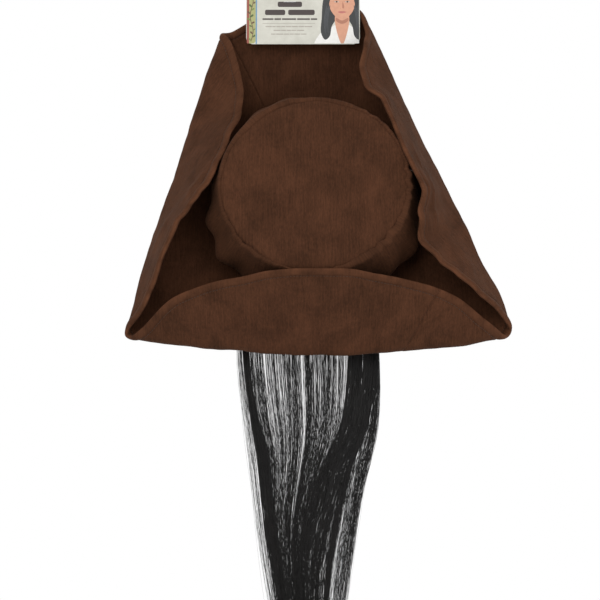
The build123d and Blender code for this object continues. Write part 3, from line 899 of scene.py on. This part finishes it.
def make_root():
    """The fixed root of the hair: many short fibres, packed side by side below the weft."""
    source = np.random.default_rng(9)
    count = 900
    left, right = HAIR_TOP_SPAN
    x = source.uniform(left + 1, right - 1, count)[:, None]
    along = np.linspace(0, 1, 8)[None, :]
    top = weft_edge(x)
    z = top + (HINGE_Z - 2.0 - top) * along
    y = HAIR_START_Y + (HAIR_STAND_OFF - HAIR_START_Y) * ease(along * 1.3)
    y = y + source.normal(0, 0.7, count)[:, None] * along
    x = x + source.normal(0, 0.8, count)[:, None] * along
    piece = make_tubes("root_fibres", np.stack([x, y, z], axis=-1), 0.14, HAIR_SIDES, hair_fibre)
    return stand_in(piece, "hair", "hair_root")


# ------------------------------------------------------------------ header card

CARD_WIDTH = 112.0
CARD_HEIGHT = 150.0
CARD_THICKNESS = 0.6
CARD_CORNER = 7.0
CARD_BEVEL = 0.08
CARD_CENTRE_X = -13.0
CARD_BOTTOM_Z = 152.0
CARD_FACE = 1000 * -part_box("hang_card")[0][1]
HANG_HOLE_RADIUS = 4.0
HANG_HOLE_INSET = 14.0
PRINT_LAYER = 0.02


def plain_material(name, colour):
    """A printed ink: one colour with a little paper grain in it."""
    dark = tuple(0.88 * value for value in colour)
    return speckled_material(name, dark, colour, 240, 0.5, 0.00002)


def rounded(low_x, low_z, high_x, high_z, radius, steps=6):
    """Corner points of a rectangle with round corners, anticlockwise."""
    corners = []
    radius = min(radius, (high_x - low_x) / 2, (high_z - low_z) / 2)
    places = ((high_x - radius, high_z - radius), (low_x + radius, high_z - radius),
              (low_x + radius, low_z + radius), (high_x - radius, low_z + radius))
    for quarter, (x, z) in enumerate(places):
        for turn in np.linspace(0, math.pi / 2, steps) + quarter * math.pi / 2:
            corners.append((x + radius * math.cos(turn), z + radius * math.sin(turn)))
    return corners


def oval(x, z, half_x, half_z, steps):
    """Points of an oval."""
    turns = np.linspace(0, 2 * math.pi, steps, endpoint=False)
    return list(zip(x + half_x * np.cos(turns), z + half_z * np.sin(turns)))


def smooth_shape(points, steps=8):
    """A closed smooth curve through points (Catmull-Rom)."""
    curve = []
    count = len(points)
    for index in range(count):
        p = [np.array(points[(index + k - 1) % count], float) for k in range(4)]
        for t in np.linspace(0, 1, steps, endpoint=False):
            square = (2 * p[0] - 5 * p[1] + 4 * p[2] - p[3]) * t ** 2
            cube = (3 * p[1] - p[0] - 3 * p[2] + p[3]) * t ** 3
            curve.append(tuple(0.5 * (2 * p[1] + (p[2] - p[0]) * t + square + cube)))
    return curve


def clip_to(points, low_x, low_z, high_x, high_z):
    """A shape cut to a rectangle, one side at a time."""
    for axis, limit, sign in ((0, low_x, 1), (0, high_x, -1), (1, low_z, 1), (1, high_z, -1)):
        kept = []
        for one, two in zip(points, points[1:] + points[:1]):
            in_one, in_two = (sign * (point[axis] - limit) >= 0 for point in (one, two))
            if in_one:
                kept.append(one)
            if in_one != in_two:
                t = (limit - one[axis]) / (two[axis] - one[axis])
                kept.append((one[0] + t * (two[0] - one[0]), one[1] + t * (two[1] - one[1])))
        points = kept
    return points


def print_sheet(name, shapes, inks):
    """Thin prisms of ink on the card's face: shapes are (outline, layer, ink name)."""
    names = list(inks)
    points, faces, ink_of = [], [], []
    for outline, layer, ink in shapes:
        if len(outline) < 3:
            continue
        area = sum(a[0] * b[1] - b[0] * a[1] for a, b in zip(outline, outline[1:] + outline[:1]))
        outline = outline if area > 0 else outline[::-1]
        base, count = len(points), len(outline)
        front = -(CARD_FACE + 0.005 + PRINT_LAYER * (layer + 1))
        points += [(x, front, z) for x, z in outline]
        points += [(x, -(CARD_FACE - 0.05), z) for x, z in outline]
        faces.append([base + k for k in range(count)])
        faces.append([base + count + k for k in reversed(range(count))])
        for k in range(count):
            after = (k + 1) % count
            faces.append([base + k, base + count + k, base + count + after, base + after])
        ink_of += [names.index(ink)] * (count + 2)
    mesh = bpy.data.meshes.new(name)
    mesh.from_pydata((np.array(points) * MM).tolist(), [], faces)
    for ink in names:
        mesh.materials.append(inks[ink])
    mesh.polygons.foreach_set("material_index", ink_of)
    return stand_in(place_mesh(name, mesh), "card")


def ornament_shapes(low_x, high_x, low_z, high_z):
    """A printed border of leaves on a winding stem."""
    source = np.random.default_rng(3)
    middle = (low_x + high_x) / 2
    shapes = [(rounded(low_x, low_z, high_x, high_z, 3.0), 0, "olive")]
    shapes.append((rounded(low_x, low_z, low_x + 2.2, high_z, 1.0), 1, "rust"))
    left, right = [], []
    for z in np.linspace(low_z + 2, high_z - 2, 90):
        x = middle + 0.4 + 1.5 * math.sin(z / 5.0)
        left.append((x - 0.35, z))
        right.append((x + 0.35, z))
    shapes.append((left + right[::-1], 2, "brown"))
    for index, z in enumerate(np.arange(low_z + 4, high_z - 4, 3.4)):
        side = 1 if index % 2 else -1
        x = middle + 0.4 + 1.5 * math.sin(z / 5.0)
        tilt = 0.6 * side + source.uniform(-0.25, 0.25)
        size = source.uniform(1.5, 2.2)
        leaf = []
        for turn in np.linspace(0, 2 * math.pi, 18, endpoint=False):
            u, v = size * math.cos(turn), 0.42 * size * math.sin(turn) * (1 + 0.4 * math.cos(turn))
            lx = x + side * 1.5 + u * math.cos(tilt) * side - v * math.sin(tilt)
            lz = z + u * abs(math.sin(tilt)) + v * math.cos(tilt)
            leaf.append((lx, lz))
        leaf = clip_to(leaf, low_x + 0.3, low_z, high_x - 0.3, high_z)
        shapes.append((leaf, 3, ("leaf", "moss", "brown")[index % 3]))
    return shapes


def word_rows(rows):
    """Rows of plain bars that stand for print: (centre x, z, height, total width, bars, ink)."""
    source = np.random.default_rng(17)
    shapes = []
    for centre, z, height, total, bars, ink in rows:
        widths = source.uniform(0.6, 1.4, bars)
        gap = height * 0.55
        widths *= (total - gap * (bars - 1)) / widths.sum()
        x = centre - total / 2
        for width in widths:
            shapes.append((rounded(x, z - height / 2, x + width, z + height / 2, height * 0.3), 1, ink))
            x += width + gap
    return shapes


def mirrored(x, width, half):
    """A smooth shape from its right half: (distance out in widths, height) pairs."""
    right = [(x + out * width, z) for out, z in half]
    left = [(x - out * width, z) for out, z in reversed(half) if out]
    return smooth_shape(right + left)


def portrait_shapes(x, chin, w):
    """A calm long-haired figure of plain flat shapes, drawn to textbook proportions."""
    head = w * 2.75
    crown = chin + head
    eye = chin + head / 2
    brow = chin + head * 0.6
    nose = chin + head * 0.31
    mouth = chin + head * 0.2
    hair = [(0, crown + 3), (0.8, crown), (1.45, eye + 3), (1.6, chin), (1.66, chin - 13), (1.35, chin - 21),
            (0.95, chin - 17), (0.75, chin - 6), (0, chin + 4)]
    shirt = [(0.35, chin - 5), (0.9, chin - 9), (1.8, chin - 16), (1.9, chin - 30)]
    neck = [(x - 0.46 * w, chin + 5), (x + 0.46 * w, chin + 5), (x + 0.5 * w, chin - 8), (x + 0.1, chin - 26),
            (x - 0.5 * w, chin - 8)]
    shade = [(0, chin - 1.6), (0.46, chin + 1), (0.44, chin - 2.5), (0, chin - 5)]
    face = [(0, crown - 2), (0.72, crown - 5), (1, brow), (0.96, nose + 1), (0.72, mouth - 1.5),
            (0.36, chin + 1), (0, chin)]
    fringe = [(0, crown + 2.4), (0.7, crown), (1.2, brow), (1.12, nose), (0.92, brow - 1), (0.66, crown - 6),
              (0, crown - 3.4)]
    shapes = [(mirrored(x, w, hair), 2, "black"), (mirrored(x, w, shirt), 1, "white"),
              (smooth_shape(neck), 3, "skin"), (mirrored(x, w, shade), 4, "skin_shade"),
              (mirrored(x, w, face), 5, "skin"), (mirrored(x, w, fringe), 7, "black")]
    for side in (-1, 1):
        ex = x + side * 0.42 * w
        shapes += [
            (mirrored(ex, w, [(0, eye + 0.8), (0.2, eye), (0, eye - 0.65)]), 6, "eye"),
            (oval(ex, eye + 0.05, 0.95, 0.85, 20), 7, "brown"),
            (oval(ex, eye + 0.05, 0.33, 0.36, 14), 8, "black"),
            (mirrored(ex, w, [(0, eye + 1.25), (0.23, eye + 0.1), (0, eye + 0.85)]), 9, "skin_shade"),
            (mirrored(ex, w, [(0, brow + 1.1), (0.26, brow), (0, brow + 0.35)]), 6, "black"),
            (oval(x + side * 0.11 * w, nose + 0.1, 0.45, 0.25, 14), 7, "skin_shade"),
        ]
    bridge = smooth_shape([(x + 0.05 * w, eye), (x + 0.17 * w, nose + 1.2), (x + 0.02 * w, nose + 0.6)])
    lips = [(0, mouth + 0.6), (0.1, mouth + 0.9), (0.34, mouth), (0, mouth - 1.3)]
    line = [(0, mouth - 0.1), (0.34, mouth), (0, mouth + 0.12)]
    shapes += [(bridge, 6, "skin_shade"), (mirrored(x, w, lips), 6, "lip"),
               (mirrored(x, w, line), 8, "brown")]
    for index in range(9):
        side = -1 if index % 2 else 1
        top_x = x + side * (0.95 + 0.09 * (index // 2)) * w
        low = chin - 14 - 2.0 * (index % 3)
        strand = [(top_x - 0.3, chin + 12), (top_x + 0.3, chin + 12), (top_x + side * 2.2 + 0.3, chin - 2),
                  (top_x + side * 1.2, low), (top_x + side * 2.2 - 0.3, chin - 2)]
        shapes.append((smooth_shape(strand), 6, "sheen"))
    return shapes


INK_COLOURS = {
    "olive": (0.33, 0.33, 0.13), "rust": (0.24, 0.05, 0.03), "leaf": (0.14, 0.2, 0.04),
    "moss": (0.06, 0.1, 0.02), "brown": (0.1, 0.045, 0.02), "blue": (0.12, 0.24, 0.36),
    "black": (0.018, 0.02, 0.02), "sheen": (0.05, 0.055, 0.06), "grey": (0.32, 0.29, 0.25),
    "title": (0.035, 0.022, 0.02), "white": (0.7, 0.69, 0.66), "eye": (0.52, 0.45, 0.4),
    "skin": (0.55, 0.27, 0.17), "skin_shade": (0.36, 0.15, 0.09), "lip": (0.45, 0.14, 0.12),
    "sand": (0.5, 0.43, 0.32),
}


def make_card():
    """The blank card with its hang hole, and a plain print of bars, leaves and a figure."""
    curve = bpy.data.curves.new("card_outline", "CURVE")
    curve.dimensions = "2D"
    curve.fill_mode = "BOTH"
    curve.extrude = (CARD_THICKNESS / 2 - CARD_BEVEL) * MM
    curve.bevel_depth = CARD_BEVEL * MM
    curve.bevel_resolution = 2
    half_width, half_height = CARD_WIDTH / 2 - CARD_BEVEL, CARD_HEIGHT / 2 - CARD_BEVEL
    outline = rounded(-half_width, -half_height, half_width, half_height, CARD_CORNER, 14)
    hole_z = CARD_HEIGHT / 2 - HANG_HOLE_INSET
    hole = oval(0, hole_z, HANG_HOLE_RADIUS + CARD_BEVEL, HANG_HOLE_RADIUS + CARD_BEVEL, 48)
    for loop in (outline, hole[::-1]):
        spline = curve.splines.new("POLY")
        spline.points.add(len(loop) - 1)
        spline.use_cyclic_u = True
        for point, (x, z) in zip(spline.points, loop):
            point.co = (x * MM, z * MM, 0, 1)
    holder = bpy.data.objects.new("card_outline", curve)
    middle = (CARD_CENTRE_X, -(CARD_FACE - CARD_THICKNESS / 2), CARD_BOTTOM_Z + CARD_HEIGHT / 2)
    holder.location = [MM * value for value in middle]
    holder.rotation_euler = (math.pi / 2, 0, 0)
    bpy.context.scene.collection.objects.link(holder)
    bpy.context.view_layer.update()
    mesh = bpy.data.meshes.new_from_object(holder.evaluated_get(bpy.context.evaluated_depsgraph_get()))
    mesh.transform(holder.matrix_world)
    bpy.data.objects.remove(holder)
    mesh.materials.clear()
    mesh.materials.append(card_stock)
    board = stand_in(place_mesh("card_board", mesh), "card", "hang_card")

    inks = {name: plain_material(f"ink_{name}", colour) for name, colour in INK_COLOURS.items()}
    low_x, high_x = CARD_CENTRE_X - CARD_WIDTH / 2, CARD_CENTRE_X + CARD_WIDTH / 2
    strip = low_x + 0.6
    top_z = CARD_BOTTOM_Z + 118
    shapes = ornament_shapes(strip, strip + 8.6, CARD_BOTTOM_Z + 0.7, top_z)
    shapes.append((rounded(strip + 8.7, CARD_BOTTOM_Z + 0.3, strip + 10.0, top_z, 0.2), 1, "blue"))
    middle = -26.0
    rows = [
        (middle, 224.0, 6.2, 44.0, 2, "title"), (middle, 215.0, 2.6, 40.0, 4, "title"),
        (middle, 203.0, 6.2, 46.0, 2, "title"), (middle, 192.4, 5.4, 24.0, 1, "title"),
        (middle, 184.2, 5.4, 49.0, 2, "title"), (middle, 177.4, 1.5, 54.0, 5, "title"),
        (middle - 1, 173.0, 0.45, 52.0, 1, "grey"), (middle - 1, 169.8, 0.9, 46.0, 8, "grey"),
        (middle - 1, 166.0, 0.9, 30.0, 5, "grey"), (middle - 1, 162.2, 0.9, 35.0, 6, "grey"),
    ]
    shapes += word_rows(rows)
    window = (-4.0, CARD_BOTTOM_Z + 0.8, high_x - 0.8, 246.0)
    for outline, layer, ink in portrait_shapes(25.5, 177.6, 12.6):
        shapes.append((clip_to(outline, *window), layer, ink))
    shapes.append((rounded(low_x + 14, 250.0, high_x - 14, 262.0, 3.0), 0, "sand"))
    print_sheet("card_print", shapes, inks)
    return board


# --------------------------------------------------------------- tacks and sewing

TACK_ANGLES = [160.0, 18.0, -90.0]


def make_tacks():
    """Three bars of twisted thread between the flaps' edges and the crown."""
    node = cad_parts["flap_tacks"]
    spots = np.array([vertex.co for vertex in node.data.vertices]) / MM
    reach = spots @ on_circle(1.0, np.radians(TACK_ANGLES), 0.0).T
    share = np.linspace(0, 1, 24)[:, None]
    strands = []
    for index in range(len(TACK_ANGLES)):
        mine = reach.argmax(axis=1) == index
        own, out = spots[mine], reach[mine, index]
        inner = own[out < out.mean()].mean(axis=0)
        outer = own[out >= out.mean()].mean(axis=0)
        axis = unit(outer - inner)
        inner, outer = inner - 1.2 * axis, outer + 1.0 * axis
        side = unit(np.cross(axis, [0, 1, 0]))
        other_side = np.cross(axis, side)
        for start in range(4):
            turn = share * 7 + start * math.pi / 2
            twist = 0.34 * (np.cos(turn) * side + np.sin(turn) * other_side)
            strands.append(inner + (outer - inner) * share + twist)
    piece = make_tubes("tack_threads", np.stack(strands), 0.27, 8, thread_cloth)
    return stand_in(piece, "thread", "flap_tacks")


def make_brim_stitches(halves):
    """The row of stitches round the brim's edge, on both cloths."""
    for face, sign in (("upper", 1.0), ("under", -1.0)):
        lines = []
        for points, normals, from_edge, outer in halves:
            facing = sign * normals
            line = [[np.interp(HEM_WIDTH, distance[::-1], values[::-1, k]) for k in range(3)]
                    for grid in (points + facing * outer, facing)
                    for distance, values in zip(from_edge, grid)]
            lines.append(np.array(line).reshape(2, -1, 3))
        stand_in(make_stitches(f"brim_{face}_stitches", lines, thread_cloth), "thread")


brim, brim_halves = make_brim()
crown_side = make_crown_side()
crown_top = make_crown_top()
side_core, top_core, side_lining, top_lining = make_crown_inside()
sweatband, band_stitches = make_sweatband()
label = make_label()
make_tacks()
make_brim_stitches(brim_halves)
make_weft()
make_root()
make_hair()
make_card()


# ------------------------------------------------------------------------ sheets


def half_brim_cut(start):
    """Size and area of the flat rectangle that half of the brim's cloth is cut from."""
    angles = np.linspace(start, start + 180, 400)
    radius = outline_radius(angles)
    turn = np.radians(angles - start)
    area = 0.5 * np.mean(radius ** 2 - BRIM_INNER ** 2) * math.pi * MM ** 2
    along = (radius * np.cos(turn)).max() - (radius * np.cos(turn)).min()
    across = (radius * np.sin(turn)).max()
    return (across * MM, along * MM), area


for side, start in (("right", SEAM_ANGLE), ("left", SEAM_ANGLE + 180)):
    size, area = half_brim_cut(start)

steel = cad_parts["card_staples"]
steel.data.materials.clear()
steel.data.materials.append(steel_wire)

# ------------------------------------------------------------------------ camera

PHOTO_DISTANCE = 1.256
PHOTO_TARGET = Vector((-0.016, 0.0, -0.0965))
PHOTO_ELEVATION = math.radians(-5.95)
PHOTO_LENS = 75.4


def make_camera():
    """The photograph's view: level with the hair's top, looking up a little."""
    camera = bpy.data.objects.new("camera", bpy.data.cameras.new("camera"))
    bpy.context.scene.collection.objects.link(camera)
    away = Vector((0, -math.cos(PHOTO_ELEVATION), math.sin(PHOTO_ELEVATION)))
    camera.location = PHOTO_TARGET + away * PHOTO_DISTANCE
    camera.rotation_euler = (-away).to_track_quat("-Z", "Y").to_euler()
    camera.data.sensor_width = 36.0
    camera.data.lens = PHOTO_LENS
    camera.data.clip_start = 0.01
    bpy.context.scene.camera = camera


make_camera()


# ----------------------------------------------------------------- studio, light

def make_floor():
    """A pale round floor, well below the hair."""
    bpy.ops.mesh.primitive_circle_add(vertices=96, radius=0.85, fill_type="NGON", location=(0, 0.1, -0.78))
    floor = bpy.context.object
    floor.name = "floor"
    paint = speckled_material("floor", (0.78, 0.78, 0.77), (0.84, 0.84, 0.83), 3, 0.8, 0.0001)
    floor.data.materials.append(paint)


def make_light(name, place, target, size, power):
    """A soft square lamp that looks at a target."""
    lamp = bpy.data.lights.new(name, "AREA")
    lamp.size = size
    lamp.energy = power
    holder = bpy.data.objects.new(name, lamp)
    holder.location = place
    holder.rotation_euler = (Vector(target) - Vector(place)).to_track_quat("-Z", "Y").to_euler()
    bpy.context.scene.collection.objects.link(holder)


def make_studio():
    """White surroundings, a large soft key from above and in front, and a low fill."""
    world = bpy.data.worlds.new("studio")
    bpy.context.scene.world = world
    world.use_nodes = True
    world.node_tree.nodes["Background"].inputs["Color"].default_value = (1, 1, 1, 1)
    world.node_tree.nodes["Background"].inputs["Strength"].default_value = 1.0
    bpy.context.scene.view_settings.view_transform = "Standard"
    make_light("key", (-0.6, -1.9, 0.45), (0, 0, 0), 1.2, 13.0)
    make_light("fill", (1.2, -1.4, -0.2), (0, 0, 0), 1.2, 6.0)
    make_floor()


make_studio()
